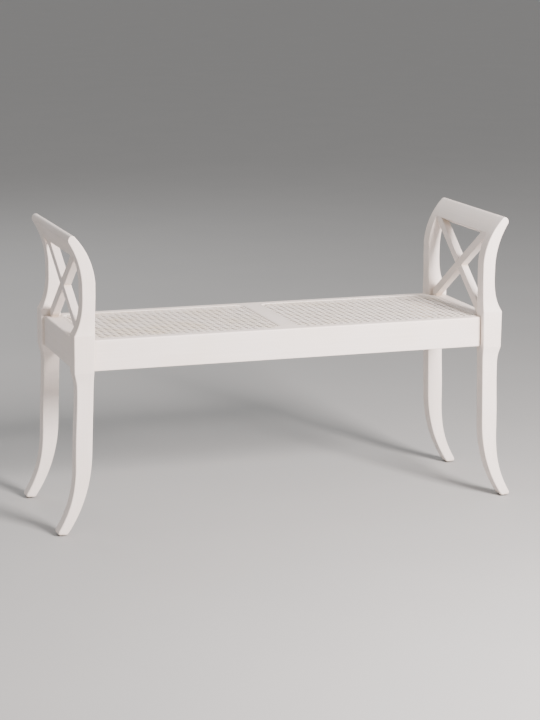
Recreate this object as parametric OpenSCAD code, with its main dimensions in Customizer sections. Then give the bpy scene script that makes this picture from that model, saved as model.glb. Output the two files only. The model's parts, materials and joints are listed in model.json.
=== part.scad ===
// Caned window bench with two scrolled, X-braced arms.
// The bench is two end frames with a caned seat box bolted between them.
// +X runs along the bench, +Y towards the back, +Z up.
// The origin lies on the floor, under the middle of the seat.

/* [Bench] */
// Length over the seat-level blocks of the two end frames
bench_length = 1060; // [860:10:1260]
// Depth over the seat-level blocks of the posts
bench_depth = 366; // [346:2:406]
// Height of the top of the seat frame above the floor
seat_height = 452; // [430:1:480]
// Height of the arms above the seat frame
arm_rise = 242.5; // [240:0.5:246]

/* [Posts] */
// Thickness of a leg and an arm, front to back
post_depth = 34; // [30:1:36]
// Thickness of the seat-level block, front to back
block_depth = 42; // [40:1:46]
// Width of the seat-level block along the bench
block_width = 48; // [46:1:52]
// Lean of the inner face of a post away from upright, in degrees
inner_lean = 1.6; // [1:0.1:2]
// Radius of the inner face of the scrolled arm
arm_inner_radius = 175; // [170:1:180]
// Radius of the outer face of the scrolled arm
arm_outer_radius = 202; // [198:1:206]
// Radius of the two rounded corners along the top of an arm
arm_corner_radius = 8; // [5:0.5:9]

/* [Seat frame] */
// Height of the seat rails
rail_height = 72; // [64:1:76]
// Thickness of the front and back rails
rail_thickness = 34; // [32:1:38]
// Setback of the seat rails from the faces of the blocks
rail_setback = 17; // [14:1:19]
// Thickness of the two short seat ends
seat_end_thickness = 20; // [18:1:24]
// Width of the centre bar between the cane panels
centre_bar_width = 56; // [52:1:64]
// Height of the centre bar
centre_bar_height = 34; // [28:1:45]
// Radius along the outer top edges of the rails
rail_edge_radius = 4; // [2:0.5:6]

/* [End frames] */
// Thickness of the end rails under the arms
end_rail_thickness = 32; // [30:1:34]
// Setback of an end rail from the outer face of the blocks
end_rail_setback = 8; // [6:0.5:10]
// Width of an X brace across its face
brace_width = 21.5; // [18:0.5:24]
// Thickness of an X brace along the bench
brace_thickness = 18.5; // [16:0.5:20]

/* [Cane] */
// Radius of the rounded corners of a cane panel
panel_corner_radius = 26; // [26:1:32]
// Thickness of the woven cane
cane_thickness = 2; // [1.5:0.1:2.4]
// Width of the spline groove
groove_width = 5; // [4:0.5:6]
// Depth of the spline groove
groove_depth = 9; // [7:0.5:12]

/* [Fittings] */
// Thickness of the glide under each foot
glide_thickness = 3; // [2:0.5:5]
// Diameter of the glide under each foot
glide_diameter = 12; // [10:1:14]
// Diameter of the seat bolts
bolt_diameter = 6; // [5:1:8]
// Diameter of the dowels in the frame joints
dowel_diameter = 10; // [8:1:12]

/* [Hidden] */
$fn = 48;

paint = "#efeae4";
cane_paint = "#ebe3d5";
beech = "#d8b98c";
steel = "#b9bcc0";
nylon = "#e4e2dc";

curve_steps = 12;
corner_steps = 6;
gap = 0.3;

// Posts: x is measured from post_x, the plane where the inner face crosses the seat level.
post_x = bench_length / 2 - block_width;
block_y = bench_depth / 2 - block_depth / 2;
post_back = block_y - post_depth / 2;
sole_z = glide_thickness;
block_bottom = seat_height - 72;
block_top = seat_height + 14;
plumb_z = seat_height - 22;
calf_z = 180;
calf_width = 46;
shin_width = 41.5;
arc_z = seat_height + 120;
arm_face = 27.6;
inner_arc_centre = [arm_inner_radius + tan(inner_lean) * (plumb_z - arc_z), arc_z];
outer_arc_centre = [arm_face + arm_outer_radius, arc_z];
foot_middle = 75;

// Rounded top of an arm: one corner circle inside the inner arc, one outside the outer arc.
arm_top = seat_height + arm_rise;
cap_inner_reach = arm_inner_radius - arm_corner_radius;
cap_outer_reach = arm_outer_radius + arm_corner_radius;
cap_inner_angle = asin((arm_top - arm_corner_radius - arc_z) / cap_inner_reach);
cap_outer_angle = 31.5;
cap_inner = inner_arc_centre + cap_inner_reach * [-cos(cap_inner_angle), sin(cap_inner_angle)];
cap_outer = outer_arc_centre + cap_outer_reach * [-cos(cap_outer_angle), sin(cap_outer_angle)];
cap_normal = atan2(cap_outer.y - cap_inner.y, cap_outer.x - cap_inner.x) + 90;

// The crest rail runs from its cut lower edge up to the rounded top.
crest_inner_angle = 27.6;
crest_outer_angle = 20.1;
crest_inner_foot = inner_arc(crest_inner_angle);
crest_outer_foot = outer_arc(crest_outer_angle);
crest_slope = (crest_outer_foot.y - crest_inner_foot.y) / (crest_outer_foot.x - crest_inner_foot.x);
crest_lean = -atan(crest_slope);

// End rails
end_rail_outer = bench_length / 2 - end_rail_setback;
end_rail_inner = end_rail_outer - end_rail_thickness;
end_rail_top = seat_height + 1;
end_rail_reach = block_y - block_depth / 2;

// X braces
brace_foot_x = post_x + 17.3;
brace_head_x = post_x + 24.5;
brace_head_z = crest_inner_foot.y + crest_slope * (brace_head_x - post_x - crest_inner_foot.x);
brace_cross_z = end_rail_top + 101.4;
brace_rise = brace_head_z - end_rail_top;
brace_tilt = atan((brace_head_x - brace_foot_x) / brace_rise);
brace_angle = 35.8;
brace_centre = [
    brace_foot_x + tan(brace_tilt) * (brace_cross_z - end_rail_top), 0, brace_cross_z
];

// Seat frame
rail_face = bench_depth / 2 - rail_setback;
rail_inner = rail_face - rail_thickness;
rail_end = post_x + tan(inner_lean) * (plumb_z - seat_height);
rail_bottom = seat_height - rail_height;
seat_end_inner = end_rail_inner - seat_end_thickness;

// Cane pocket: a groove all round each panel, and a lip inside it that the cane lies on
lip_drop = 1 + cane_thickness;
groove_outer_y = rail_face - 20;
groove_outer_x = end_rail_inner - 6;
groove_bar_x = 18.5;
cane_edge = 1;

// Fittings
bolt_ys = [-70, 0, 70];
bolt_z = rail_bottom + 35;
bolt_head_height = 4;
washer_thickness = 1.5;
insert_length = 14;
block_leg = 46;
block_height = 36;
block_z = rail_bottom + 22;
screw_radius = 2;
screw_head_radius = 4;
screw_seat = 16;

function bezier(p, n = curve_steps) = [
    for (i = [0 : n]) let (t = i / n, s = 1 - t)
        s * s * s * p[0] + 3 * s * s * t * p[1] + 3 * s * t * t * p[2] + t * t * t * p[3]
];
function arc(centre, r, a0, a1, n = corner_steps) = [
    for (i = [0 : n]) let (a = a0 + (a1 - a0) * i / n) centre + r * [cos(a), sin(a)]
];
function inner_arc(a) = inner_arc_centre + arm_inner_radius * [-cos(a), sin(a)];
function outer_arc(a) = outer_arc_centre + arm_outer_radius * [-cos(a), sin(a)];
function inner_face(z) = tan(inner_lean) * (plumb_z - z);

// Outer face of the arm from angle a0 up, over the rounded top, and down the inner face to a1
function arm_outline(a0, a1) = concat(
    [for (i = [0 : curve_steps]) outer_arc(a0 + (cap_outer_angle - a0) * i / curve_steps)],
    arc(cap_outer, arm_corner_radius, -cap_outer_angle, cap_normal),
    arc(cap_inner, arm_corner_radius, cap_normal, 180 - cap_inner_angle),
    [for (i = [0 : curve_steps]) inner_arc(cap_inner_angle + (a1 - cap_inner_angle) * i / curve_steps)]
);

// Side of a post seen from the front: sabre leg, seat-level block, scrolled arm
post_outline = concat(
    bezier([[79, sole_z], [86, sole_z], [90.5, sole_z + 4], [87, sole_z + 10.5]], corner_steps),
    bezier([[87, sole_z + 10.5], [57, 62], [calf_width - 0.5, 105], [calf_width, calf_z]]),
    bezier([
        [calf_width, calf_z], [calf_width, calf_z + 55],
        [shin_width, block_bottom - 100], [shin_width, block_bottom - 42]
    ]),
    bezier([
        [shin_width, block_bottom - 42], [shin_width, block_bottom - 22],
        [block_width - 3, block_bottom - 14], [block_width, block_bottom]
    ], corner_steps),
    bezier([
        [block_width, block_top], [38, block_top + 16],
        [arm_face + 0.1, block_top + 39], [arm_face, block_top + 84]
    ]),
    arm_outline(0, 0),
    bezier([
        [inner_face(calf_z + 5), calf_z + 5], [inner_face(calf_z + 5) + 2.8, 120],
        [28, 58], [68, sole_z + 1.5]
    ]),
    [[70.5, sole_z]]
);

// Side of a post seen along the bench: the block stands proud of the leg and the arm
half_leg = post_depth / 2;
half_block = block_depth / 2;
post_flank = concat(
    [[half_leg, 0]],
    bezier([
        [half_leg, block_bottom - 38], [half_leg, block_bottom - 18],
        [half_block - 1.5, block_bottom - 10], [half_block, block_bottom]
    ], corner_steps),
    bezier([
        [half_block, block_top], [half_leg + 1.5, block_top + 12],
        [half_leg, block_top + 24], [half_leg, block_top + 44]
    ], corner_steps),
    [[half_leg, arm_top + 10]]
);

// Copies a piece of the back right quarter into the quarter named by the two signs
module quarter(side, face) {
    mirror([side < 0 ? 1 : 0, 0, 0]) mirror([0, face < 0 ? 1 : 0, 0]) children();
}

// Stands a flat outline drawn in x and z upright, centred on y = 0
module upright(depth) {
    translate([0, depth / 2, 0]) rotate([90, 0, 0]) linear_extrude(depth) children();
}

// A round bar along Y, centred on the given point
module bar_y(at, d, length) {
    translate(at) rotate([90, 0, 0]) cylinder(h = length, d = d, center = true);
}

// A round bar along X that starts at the given point
module bar_x(at, d, length) {
    translate(at) rotate([0, 90, 0]) cylinder(h = length, d = d);
}

// ---- joinery shapes, drawn once and used both as the dowels and to bore their holes ----

module end_rail_dowel_pair() {
    for (z = [rail_bottom + 20, rail_bottom + 52])
        bar_y([(end_rail_outer + end_rail_inner) / 2, end_rail_reach, z], dowel_diameter, 40);
}

module crest_dowel_pair() {
    for (z = [arc_z + 88, arc_z + 104])
        let (in_u = inner_arc_centre.x - sqrt(arm_inner_radius ^ 2 - (z - arc_z) ^ 2),
             out_u = outer_arc_centre.x - sqrt(arm_outer_radius ^ 2 - (z - arc_z) ^ 2))
            bar_y([post_x + (in_u + out_u) / 2, post_back, z], 8, 36);
}

module brace_foot_dowel() {
    translate([brace_foot_x, end_rail_reach - 5.5, end_rail_top - 12]) cylinder(h = 17.5, d = 6);
}

module brace_head_dowel() {
    translate([brace_head_x, post_back - 23, brace_head_z])
        rotate([0, crest_lean, 0]) cylinder(h = 20, d = 6, center = true);
}

module seat_end_dowel_pair() {
    for (z = [rail_bottom + 14, rail_bottom + 50])
        bar_y([seat_end_inner + 5, rail_inner, z], 6, 30);
}

module centre_bar_dowel_pair() {
    for (x = [-15, 15])
        bar_y([x, rail_inner, seat_height - centre_bar_height / 2 - 3], 8, 40);
}

// A countersunk screw along +Y that starts at its head
module screw(length) {
    rotate([-90, 0, 0]) {
        cylinder(h = 3, r1 = screw_head_radius, r2 = screw_radius);
        cylinder(h = length - 4, r = screw_radius);
        translate([0, 0, length - 4]) cylinder(h = 4, r1 = screw_radius, r2 = 0.4);
    }
}

module corner_screw_pair() {
    translate([seat_end_inner - 27, rail_inner - screw_seat, block_z + 24]) screw(36);
    translate([seat_end_inner - screw_seat, rail_inner - 27, block_z + 12]) rotate([0, 0, -90]) screw(28);
}

// Outline of a cane panel's groove, drawn in from its outer edge by the given amount
module panel_outline(inset) {
    x0 = groove_bar_x + inset;
    x1 = groove_outer_x - inset;
    y1 = groove_outer_y - inset;
    r = panel_corner_radius - inset;
    polygon(concat(
        arc([x1 - r, y1 - r], r, 0, 90), arc([x0 + r, y1 - r], r, 90, 180),
        arc([x0 + r, r - y1], r, 180, 270), arc([x1 - r, r - y1], r, 270, 360)
    ));
}

// A flat ring between two insets of the panel outline
module panel_ring(bottom, height, outer_inset, inner_inset) {
    translate([0, 0, bottom]) linear_extrude(height) difference() {
        panel_outline(outer_inset);
        panel_outline(inner_inset);
    }
}

// The groove and the lowered lip that hold one cane panel
module cane_pocket() {
    translate([0, 0, seat_height - lip_drop]) linear_extrude(lip_drop + 1) panel_outline(0);
    panel_ring(seat_height - groove_depth, groove_depth, 0, groove_width);
}

module both_cane_pockets() {
    cane_pocket();
    mirror([1, 0, 0]) cane_pocket();
}

// ---- end frames ----

module post(side, face) {
    color(paint) quarter(side, face) difference() {
        intersection() {
            translate([post_x, block_y, 0]) upright(block_depth + 2) polygon(post_outline);
            translate([post_x - 20, block_y, 0]) rotate([90, 0, 90]) linear_extrude(120)
                polygon(concat(post_flank, [for (i = [len(post_flank) - 1 : -1 : 0]) [-post_flank[i].x, post_flank[i].y]]));
        }
        end_rail_dowel_pair();
        crest_dowel_pair();
        translate([post_x + foot_middle, block_y, 0]) cylinder(h = sole_z + 14, d = 3);
    }
}

module end_rail(side) {
    r = rail_edge_radius;
    color(paint) quarter(side, 1) difference() {
        upright(2 * end_rail_reach) polygon(concat(
            [[end_rail_inner, rail_bottom], [end_rail_outer, rail_bottom]],
            arc([end_rail_outer - r, end_rail_top - r], r, 0, 90),
            [[end_rail_inner, end_rail_top]]
        ));
        for (face = [-1, 1]) quarter(1, face) {
            end_rail_dowel_pair();
            brace_foot_dowel();
        }
        for (y = bolt_ys) bar_x([end_rail_inner - 1, y, bolt_z], bolt_diameter + 4, insert_length + 3);
    }
}

module crest_rail(side) {
    color(paint) quarter(side, 1) difference() {
        translate([post_x, 0, 0]) upright(2 * post_back)
            polygon(arm_outline(crest_outer_angle, crest_inner_angle));
        for (face = [-1, 1]) quarter(1, face) {
            crest_dowel_pair();
            brace_head_dowel();
        }
    }
}

// A bar along one diagonal of the X; slope is 1 where it rises towards the back.
// Its thickness runs along the bench from one offset to another, measured from its centre plane.
module brace_bar(slope, from, to) {
    translate(brace_centre) rotate([0, brace_tilt, 0]) rotate([slope * brace_angle, 0, 0])
        translate([from, -2 * post_back, -brace_width / 2]) cube([to - from, 4 * post_back, brace_width]);
}

// The opening that the braces fill, seen from the front: end rail to crest rail
module brace_opening_front() {
    crest_z = crest_inner_foot.y - crest_slope * crest_inner_foot.x;
    translate([post_x, 0, 0]) upright(2 * post_back) polygon([
        [0, end_rail_top], [50, end_rail_top], [50, crest_z + 50 * crest_slope], [0, crest_z]
    ]);
}

// The same opening, seen along the bench: it narrows between the seat-level blocks
module brace_opening_side() {
    neck_z = block_top + 34;
    translate([post_x, 0, 0]) rotate([90, 0, 90]) linear_extrude(50) polygon([
        [-end_rail_reach, 0], [end_rail_reach, 0], [end_rail_reach, neck_z], [post_back, neck_z],
        [post_back, arm_top], [-post_back, arm_top], [-post_back, neck_z], [-end_rail_reach, neck_z]
    ]);
}

module brace(side, slope) {
    color(paint) quarter(side, 1) difference() {
        intersection() {
            brace_bar(slope, -brace_thickness / 2, brace_thickness / 2);
            brace_opening_front();
            brace_opening_side();
        }
        if (slope > 0) brace_bar(-slope, -brace_thickness, 0);
        else brace_bar(-slope, 0, brace_thickness);
        for (face = [-1, 1]) quarter(1, face) {
            brace_foot_dowel();
            brace_head_dowel();
        }
    }
}

// ---- seat box ----

module long_rail(face) {
    r = rail_edge_radius;
    color(paint) quarter(1, face) difference() {
        translate([-rail_end, 0, 0]) rotate([90, 0, 90]) linear_extrude(2 * rail_end) polygon(concat(
            [[rail_inner, rail_bottom]],
            arc([rail_face - 2, rail_bottom + 2], 2, -90, 0, 3),
            arc([rail_face - r, seat_height - r], r, 0, 90),
            [[rail_inner, seat_height]]
        ));
        both_cane_pockets();
        centre_bar_dowel_pair();
        for (side = [-1, 1]) quarter(side, 1) {
            seat_end_dowel_pair();
            corner_screw_pair();
        }
    }
}

module seat_end(side) {
    color(paint) quarter(side, 1) difference() {
        translate([seat_end_inner, -rail_inner, rail_bottom])
            cube([seat_end_thickness, 2 * rail_inner, rail_height]);
        cane_pocket();
        for (face = [-1, 1]) quarter(1, face) {
            seat_end_dowel_pair();
            corner_screw_pair();
        }
        for (y = bolt_ys) bar_x([seat_end_inner - 1, y, bolt_z], bolt_diameter + 1, seat_end_thickness + 2);
    }
}

module centre_bar() {
    color(paint) difference() {
        translate([-centre_bar_width / 2, -rail_inner, seat_height - centre_bar_height])
            cube([centre_bar_width, 2 * rail_inner, centre_bar_height]);
        both_cane_pockets();
        for (face = [-1, 1]) quarter(1, face) centre_bar_dowel_pair();
    }
}

// A woven panel: it lies on the lip and its rim is folded down into the groove
module cane(side) {
    top = seat_height - 1;
    color(cane_paint) quarter(side, 1) difference() {
        translate([0, 0, top - 7]) linear_extrude(7) panel_outline(groove_width - cane_edge);
        translate([0, 0, top - 8]) linear_extrude(8 - cane_thickness) panel_outline(groove_width);
    }
}

// The reed pressed into the groove over the folded rim of the cane
module spline(side) {
    bottom = seat_height - groove_depth + 1;
    color(cane_paint) quarter(side, 1)
        panel_ring(bottom, seat_height - bottom, 0, groove_width - cane_edge);
}

module corner_block(side, face) {
    color(beech) quarter(side, face) difference() {
        translate([seat_end_inner, rail_inner, block_z]) mirror([1, 1, 0]) linear_extrude(block_height)
            polygon([[0, 0], [block_leg, 0], [block_leg, 12], [12, block_leg], [0, block_leg]]);
        corner_screw_pair();
        translate([seat_end_inner - 27, rail_inner - screw_seat - 15, block_z + 24]) rotate([-90, 0, 0])
            cylinder(h = 15, r = screw_head_radius);
        bar_x([seat_end_inner - screw_seat - 15, rail_inner - 27, block_z + 12], 2 * screw_head_radius, 15);
    }
}

// ---- fittings ----

module on_four_corners() {
    for (side = [-1, 1]) for (face = [-1, 1]) quarter(side, face) children();
}

module end_rail_dowels() color(beech) on_four_corners() end_rail_dowel_pair();
module crest_dowels() color(beech) on_four_corners() crest_dowel_pair();
module seat_end_dowels() color(beech) on_four_corners() seat_end_dowel_pair();
module corner_screws() color(steel) on_four_corners() corner_screw_pair();

module brace_dowels() {
    color(beech) on_four_corners() {
        brace_foot_dowel();
        brace_head_dowel();
    }
}

module centre_bar_dowels() {
    color(beech) for (face = [-1, 1]) quarter(1, face) centre_bar_dowel_pair();
}

module seat_bolts() {
    head_x = seat_end_inner - washer_thickness - bolt_head_height;
    color(steel) for (side = [-1, 1]) quarter(side, 1) for (y = bolt_ys) {
        difference() {
            bar_x([head_x, y, bolt_z], 2 * bolt_diameter, bolt_head_height);
            translate([head_x - 1, y, bolt_z]) rotate([0, 90, 0]) cylinder(h = 3.5, d = 5, $fn = 6);
        }
        bar_x([head_x + bolt_head_height, y, bolt_z], bolt_diameter,
            washer_thickness + seat_end_thickness + insert_length - 1);
    }
}

module bolt_washers() {
    color(steel) for (side = [-1, 1]) quarter(side, 1) for (y = bolt_ys) difference() {
        bar_x([seat_end_inner - washer_thickness, y, bolt_z], 2.6 * bolt_diameter, washer_thickness);
        bar_x([seat_end_inner - washer_thickness - 1, y, bolt_z], bolt_diameter + gap, washer_thickness + 2);
    }
}

module bolt_inserts() {
    color(steel) for (side = [-1, 1]) quarter(side, 1) for (y = bolt_ys) difference() {
        bar_x([end_rail_inner, y, bolt_z], bolt_diameter + 4, insert_length);
        bar_x([end_rail_inner - 1, y, bolt_z], bolt_diameter, insert_length + 2);
    }
}

// A nail-on glide: a bevelled pad with its nail
module glide(side, face) {
    bevel = 0.8;
    color(nylon) quarter(side, face) translate([post_x + foot_middle, block_y, 0]) {
        cylinder(h = bevel, d1 = glide_diameter - 2 * bevel, d2 = glide_diameter);
        translate([0, 0, bevel]) cylinder(h = glide_thickness - bevel, d = glide_diameter);
        translate([0, 0, glide_thickness]) cylinder(h = 14, d = 3);
    }
}

post(-1, -1);  // post_front_left
post(1, -1);  // post_front_right
post(-1, 1);  // post_back_left
post(1, 1);  // post_back_right
end_rail(-1);  // end_rail_left
end_rail(1);  // end_rail_right
crest_rail(-1);  // crest_rail_left
crest_rail(1);  // crest_rail_right
brace(-1, 1);  // brace_rising_left
brace(-1, -1);  // brace_falling_left
brace(1, 1);  // brace_rising_right
brace(1, -1);  // brace_falling_right
long_rail(-1);  // front_rail
long_rail(1);  // back_rail
seat_end(-1);  // seat_end_left
seat_end(1);  // seat_end_right
centre_bar();
cane(-1);  // cane_left
cane(1);  // cane_right
spline(-1);  // spline_left
spline(1);  // spline_right
corner_block(-1, -1);  // corner_block_front_left
corner_block(1, -1);  // corner_block_front_right
corner_block(-1, 1);  // corner_block_back_left
corner_block(1, 1);  // corner_block_back_right
end_rail_dowels();
crest_dowels();
brace_dowels();
seat_end_dowels();
centre_bar_dowels();
corner_screws();
seat_bolts();
bolt_washers();
bolt_inserts();
glide(-1, -1);  // glide_front_left
glide(1, -1);  // glide_front_right
glide(-1, 1);  // glide_back_left
glide(1, 1);  // glide_back_right
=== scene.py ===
"""A caned window bench with two scrolled, X-braced arms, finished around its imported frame."""
import json
import math
import random

import bmesh
import bpy
from mathutils import Matrix, Vector


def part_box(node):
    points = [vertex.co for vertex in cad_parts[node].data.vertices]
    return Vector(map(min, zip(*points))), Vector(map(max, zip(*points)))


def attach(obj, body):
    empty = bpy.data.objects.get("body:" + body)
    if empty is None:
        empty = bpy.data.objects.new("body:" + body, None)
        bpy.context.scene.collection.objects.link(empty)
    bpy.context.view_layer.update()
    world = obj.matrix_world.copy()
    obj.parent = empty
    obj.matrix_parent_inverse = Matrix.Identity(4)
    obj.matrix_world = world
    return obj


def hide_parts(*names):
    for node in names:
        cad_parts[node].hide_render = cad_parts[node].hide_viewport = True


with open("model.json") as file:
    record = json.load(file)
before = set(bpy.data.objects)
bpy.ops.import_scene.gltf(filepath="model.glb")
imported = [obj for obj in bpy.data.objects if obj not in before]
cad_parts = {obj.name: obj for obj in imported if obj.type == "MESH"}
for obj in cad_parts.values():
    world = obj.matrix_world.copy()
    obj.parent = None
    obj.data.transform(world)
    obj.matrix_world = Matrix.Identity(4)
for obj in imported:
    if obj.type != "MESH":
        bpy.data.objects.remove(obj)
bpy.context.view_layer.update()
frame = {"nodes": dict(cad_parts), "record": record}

MM = 0.001
SIDES = {"left": -1, "right": 1}
FACES = {"front": -1, "back": 1}


def size_of(node):
    """Lowest and highest corner of a frame node, in millimetres."""
    low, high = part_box(node)
    return low / MM, high / MM


# ---- measures, in millimetres, for the right-hand end and the back ----

END_LOW, END_HIGH = size_of("end_rail_right")
RAIL_LOW, RAIL_HIGH = size_of("back_rail")
POST_LOW, POST_HIGH = size_of("post_back_right")
SEAT_END_LOW, SEAT_END_HIGH = size_of("seat_end_right")
BAR_LOW, BAR_HIGH = size_of("centre_bar")
REED_LOW, REED_HIGH = size_of("spline_right")

SEAT_TOP = RAIL_HIGH.z
RAIL_BOTTOM = RAIL_LOW.z
SOLE = POST_LOW.z
ARM_TOP = POST_HIGH.z

# Posts. Widths and outline points are measured outwards from the posts' inner line.
BLOCK_PROUD, BLOCK_WIDTH = 8, 48
BLOCK_TOP = SEAT_TOP + 14
POST_LINE = END_HIGH.x + BLOCK_PROUD - BLOCK_WIDTH
POST_MIDDLE = (POST_LOW.y + POST_HIGH.y) / 2
HALF_BLOCK = (POST_HIGH.y - POST_LOW.y) / 2
HALF_LEG = 17
EDGE_ROUND = 3.0
FLANK_STEPS = 16

# Sabre leg: it flares below the calf, and its edges are worn rounder towards the toe
SOLE_ROUND, SOLE_STEPS = 2.5, 5
TOE_WEAR, TOE_HEIGHT = 1.5, 90
FLARE_TOP, FLARE_STEPS = 185, 16
CALF_WIDTH, CALF_LEVEL = 46, 180
KNEE_WIDTH, KNEE_LEVEL = 41.5, RAIL_BOTTOM - 42

# Scrolled arm: its inner and outer faces are arcs that start at one level. Below that level the
# inner face leans, and it crosses the posts' inner line at PLUMB.
LEAN = math.tan(math.radians(1.6))
PLUMB = SEAT_TOP - 22
ARC_LEVEL = SEAT_TOP + 120
INNER_RADIUS, OUTER_RADIUS, CORNER_RADIUS = 175, 202, 8
ARM_FACE = 27.6
INNER_CENTRE = Vector((INNER_RADIUS + LEAN * (PLUMB - ARC_LEVEL), ARC_LEVEL))
OUTER_CENTRE = Vector((ARM_FACE + OUTER_RADIUS, ARC_LEVEL))
INNER_END = math.asin((ARM_TOP - CORNER_RADIUS - ARC_LEVEL) / (INNER_RADIUS - CORNER_RADIUS))
OUTER_END = math.radians(31.5)
CREST_INNER = math.radians(27.6)
CREST_OUTER = math.radians(20.1)
SCROLL_EDGE_ROUND = 0.5

# Rails: edge radii, in the order lower inner, lower outer, upper outer, upper inner, and the
# rounding of their ends. The crest rail draws in at its ends to leave a fine line beside the post.
LONG_RAIL_EDGES, LONG_RAIL_END = (1, 2, 4, 1), 1.6
END_RAIL_EDGES, END_RAIL_END = (1.5, 2, 5.5, 1.3), 0.5
SEAT_END_EDGES, BAR_EDGES, SEAT_JOINT = (1, 1, 1.2, 1), (1, 1, 1, 1), 0.4
CREST_EDGE = 0.8
CREST_JOINT_WIDTH, CREST_JOINT_DEPTH = 0.4, 0.35

# X braces: the tucks are how far they run into the end rail below and the crest rail above
BRACE_WIDTH, BRACE_THICKNESS, BRACE_EDGE = 21.5, 18.5, 2
BRACE_ANGLE = math.radians(35.8)
BRACE_FOOT, BRACE_HEAD = POST_LINE + 17.3, POST_LINE + 25.2
BRACE_CROSSING = END_HIGH.z + 101.4
FOOT_TUCK, HEAD_TUCK = 0.2, 0.8
BRACE_STEPS = 8
LAP_REACH, LAP_CLEARANCE = 30, 0.05

# Cane: its bed and groove in the seat frame, its mesh and the waves of its strands. A strand's end
# turns down by way of two points: how far past the edge each lies, and its drop.
PANEL_CORNER = 26
GROOVE, GROOVE_DEPTH, BED_DEPTH = 5, 9, 3
MESH_PITCH = 16.8
FIRST_HOLE = 33
PAIR_OFFSET = 1.4
STRAND_WIDTH, STRAND_THICKNESS = 2.2, 0.5
CANE_LEVEL = SEAT_TOP - 1.6
PAIR_WAVE, DIAGONAL_WAVE = 0.3, 0.54
RINGS_PER_MESH = 5
TURN_DOWN = ((0.4, 3.5), (-0.1, 0.9))


# ---- curves ----

def bezier(points, steps):
    """Points along a cubic curve, ends included."""
    found = []
    for i in range(steps + 1):
        t = i / steps
        s = 1 - t
        weights = (s ** 3, 3 * s * s * t, 3 * s * t * t, t ** 3)
        found.append(sum((w * Vector(p) for w, p in zip(weights, points)), Vector((0, 0))))
    return found


def arc(centre, radius, start, end, steps):
    """Points along an arc, ends included. Angles are in radians."""
    turns = (start + (end - start) * i / steps for i in range(steps + 1))
    return [centre + radius * Vector((math.cos(a), math.sin(a))) for a in turns]


def rounded(corners, steps=4):
    """A closed outline with each corner (x, y, radius) rounded off."""
    outline = []
    for i, (x, y, radius) in enumerate(corners):
        corner = Vector((x, y))
        before = (Vector(corners[i - 1][:2]) - corner).normalized()
        after = (Vector(corners[(i + 1) % len(corners)][:2]) - corner).normalized()
        half_angle = before.angle(after) / 2
        reach = radius / math.tan(half_angle)
        start, end = corner + before * reach, corner + after * reach
        for k in range(steps + 1):
            t = k / steps
            outline.append((1 - t) ** 2 * start + 2 * t * (1 - t) * corner + t * t * end)
    return outline


def on_scroll(centre, radius, angle):
    """A point on a scrolled face, its angle taken up from the level of the arc's centre."""
    return centre + radius * Vector((-math.cos(angle), math.sin(angle)))


def on_inner_arc(angle):
    return on_scroll(INNER_CENTRE, INNER_RADIUS, angle)


def on_outer_arc(angle):
    return on_scroll(OUTER_CENTRE, OUTER_RADIUS, angle)


def read_curve(points, level):
    """The first value of a curve of (value, level) points at a level."""
    for a, b in zip(points, points[1:]):
        if a.y <= level <= b.y:
            return a.x + (b.x - a.x) * (level - a.y) / max(b.y - a.y, 1e-9)
    return points[0].x if level < points[0].y else points[-1].x


# ---- mesh making ----

def loft(rings, closed=False):
    """Vertices and faces of a skin over rings that have the same number of points."""
    count = len(rings[0])
    vertices = [point for ring in rings for point in ring]
    faces = []
    for i in range(len(rings) if closed else len(rings) - 1):
        a, b = i * count, (i + 1) % len(rings) * count
        for j in range(count):
            k = (j + 1) % count
            faces.append((a + j, a + k, b + k, b + j))
    if not closed:
        faces.append(tuple(reversed(range(count))))
        faces.append(tuple(range(len(vertices) - count, len(vertices))))
    return vertices, faces


def new_mesh(name, vertices, faces):
    """A mesh in metres from points in millimetres, its faces turned outwards."""
    mesh = bpy.data.meshes.new(name)
    mesh.from_pydata([Vector(v) * MM for v in vertices], [], faces)
    skin = bmesh.new()
    skin.from_mesh(mesh)
    bmesh.ops.recalc_face_normals(skin, faces=skin.faces)
    skin.to_mesh(mesh)
    skin.free()
    return mesh


def carve(mesh, name, cutters):
    """The mesh with the cutters taken out of it."""
    body = bpy.data.objects.new(name, mesh)
    bpy.context.scene.collection.objects.link(body)
    tools = []
    for i, (vertices, faces) in enumerate(cutters):
        tool = bpy.data.objects.new("cutter", new_mesh("cutter", vertices, faces))
        bpy.context.scene.collection.objects.link(tool)
        cut = body.modifiers.new(f"cut_{i}", "BOOLEAN")
        cut.operation, cut.solver, cut.object = "DIFFERENCE", "EXACT", tool
        tools.append(tool)
    bpy.context.view_layer.update()
    shaped = body.evaluated_get(bpy.context.evaluated_depsgraph_get())
    result = bpy.data.meshes.new_from_object(shaped)
    for spare in [body, *tools]:
        bpy.data.objects.remove(spare)
    result.name = name
    return result


def place(name, mesh, material, nodes, crease=35, even_normals=True):
    """Puts a finished mesh in the scene in place of its frame nodes."""
    mesh.materials.clear()
    mesh.materials.append(material)
    mesh.polygons.foreach_set("use_smooth", [True] * len(mesh.polygons))
    mesh.set_sharp_from_angle(angle=math.radians(crease))
    piece = bpy.data.objects.new(name, mesh)
    bpy.context.scene.collection.objects.link(piece)
    if even_normals:
        flats = piece.modifiers.new("flat_faces", "WEIGHTED_NORMAL")
        flats.keep_sharp = True
    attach(piece, "root")
    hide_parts(*nodes)
    return piece


def mirrored(rings, side, face=1):
    """Rings of the right-hand back piece, turned into those of another corner."""
    return [[(p[0] * side, p[1] * face, p[2]) for p in ring] for ring in rings]


# ---- node helpers ----

def add_node(tree, kind, inputs=None, **settings):
    """A node with its settings, and its inputs linked to sockets or set to values."""
    node = tree.nodes.new(kind)
    for key, value in settings.items():
        setattr(node, key, value)
    for key, value in (inputs or {}).items():
        if isinstance(value, bpy.types.NodeSocket):
            tree.links.new(value, node.inputs[key])
        else:
            node.inputs[key].default_value = value
    return node


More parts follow.
